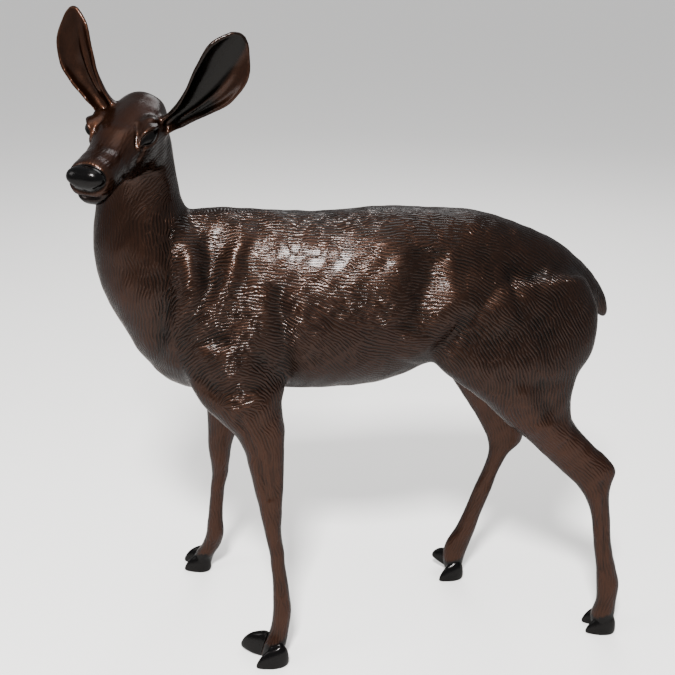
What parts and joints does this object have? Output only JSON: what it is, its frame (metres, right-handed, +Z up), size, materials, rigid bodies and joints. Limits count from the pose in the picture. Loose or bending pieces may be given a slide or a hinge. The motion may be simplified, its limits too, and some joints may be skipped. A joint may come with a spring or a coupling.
{
  "type": "deer statue",
  "caption": "Life-size standing doe in cast bronze, its head turned aside and its ears spread, a garden or hall statue that stands on its own hooves.",
  "frame": {"origin": "on the ground, under the middle of the figure's box", "axes": "+Z up, -X the way the body faces, -Y the figure's left side, to which the head turns"},
  "size_m": [1.1568, 0.4952, 1.3687],
  "materials": {
    "patinated_bronze": "cast bronze with chiselled hair, dark brown patina rubbed back on the raised parts, black nose and hooves, clear gloss lacquer"
  },
  "bodies": {
    "root": {"doe": "patinated_bronze"}
  },
  "joints": []
}
